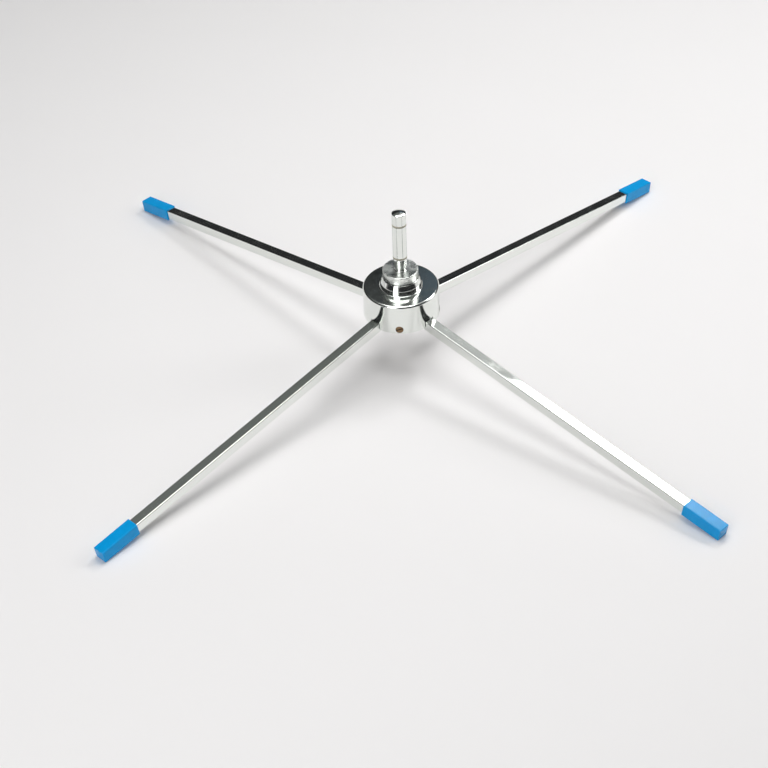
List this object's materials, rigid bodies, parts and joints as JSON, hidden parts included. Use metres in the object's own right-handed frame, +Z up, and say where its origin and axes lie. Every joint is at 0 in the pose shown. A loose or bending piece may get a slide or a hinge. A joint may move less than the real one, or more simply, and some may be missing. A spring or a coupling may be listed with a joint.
{
  "type": "folding cross base with turning spindle",
  "caption": "Folding cross base for a light pole: round chromed hub, sloping square-tube legs that fold down, blue end caps, and a spindle that turns on ball bearings.",
  "frame": {"origin": "on the floor, on the hub's axis, midway between the four feet", "axes": "+Z up along the spindle; the legs lie at 45 degrees to X and Y; -Y faces the camera, +X is its right"},
  "size_m": [0.8142, 0.8142, 0.2495],
  "materials": {
    "chrome_plate": "polished",
    "blue_plastic": "moulded, satin",
    "plain_steel": "plain turned",
    "bearing_steel": "ground",
    "zinc_screw": "yellow zinc plated",
    "cast_alloy": "as cast, machined",
    "ring_rubber": "matt"
  },
  "bodies": {
    "hub": {"hub_shell": "chrome_plate", "leg_carrier": "cast_alloy", "pin_plate": "plain_steel", "hub_screws": "zinc_screw", "plate_screws": "zinc_screw", "hinge_pin_rear_right": "plain_steel", "hinge_pin_rear_left": "plain_steel", "hinge_pin_front_left": "plain_steel", "hinge_pin_front_right": "plain_steel", "lower_bearing_outer": "bearing_steel", "lower_bearing_balls": "bearing_steel", "upper_bearing_outer": "bearing_steel", "upper_bearing_balls": "bearing_steel", "outer_spacer": "plain_steel"},
    "spindle": {"spindle": "chrome_plate", "lower_o_ring": "ring_rubber", "upper_o_ring": "ring_rubber", "lower_bearing_inner": "bearing_steel", "upper_bearing_inner": "bearing_steel", "inner_spacer": "plain_steel", "spindle_washer": "plain_steel", "spindle_nut": "plain_steel"},
    "leg_rear_right": {"leg_tube_rear_right": "chrome_plate", "foot_cap_rear_right": "blue_plastic"},
    "leg_rear_left": {"leg_tube_rear_left": "chrome_plate", "foot_cap_rear_left": "blue_plastic"},
    "leg_front_left": {"leg_tube_front_left": "chrome_plate", "foot_cap_front_left": "blue_plastic"},
    "leg_front_right": {"leg_tube_front_right": "chrome_plate", "foot_cap_front_right": "blue_plastic"}
  },
  "joints": [
    {"name": "spindle_turn", "type": "hinge", "parent": "hub", "child": "spindle", "pos_m": [0, 0, 0.14225], "axis": [0, 0, 1], "continuous": true},
    {"name": "leg_fold_rear_right", "type": "hinge", "parent": "hub", "child": "leg_rear_right", "pos_m": [0.02401, 0.02401, 0.0862], "axis": [-0.7071, 0.7071, 0], "range_deg": [0, 81.75]},
    {"name": "leg_fold_rear_left", "type": "hinge", "parent": "hub", "child": "leg_rear_left", "pos_m": [-0.02401, 0.02401, 0.0862], "axis": [-0.7071, -0.7071, 0], "range_deg": [0, 81.75]},
    {"name": "leg_fold_front_left", "type": "hinge", "parent": "hub", "child": "leg_front_left", "pos_m": [-0.02401, -0.02401, 0.0862], "axis": [0.7071, -0.7071, 0], "range_deg": [0, 81.75]},
    {"name": "leg_fold_front_right", "type": "hinge", "parent": "hub", "child": "leg_front_right", "pos_m": [0.02401, -0.02401, 0.0862], "axis": [0.7071, 0.7071, 0], "range_deg": [0, 81.75]}
  ]
}
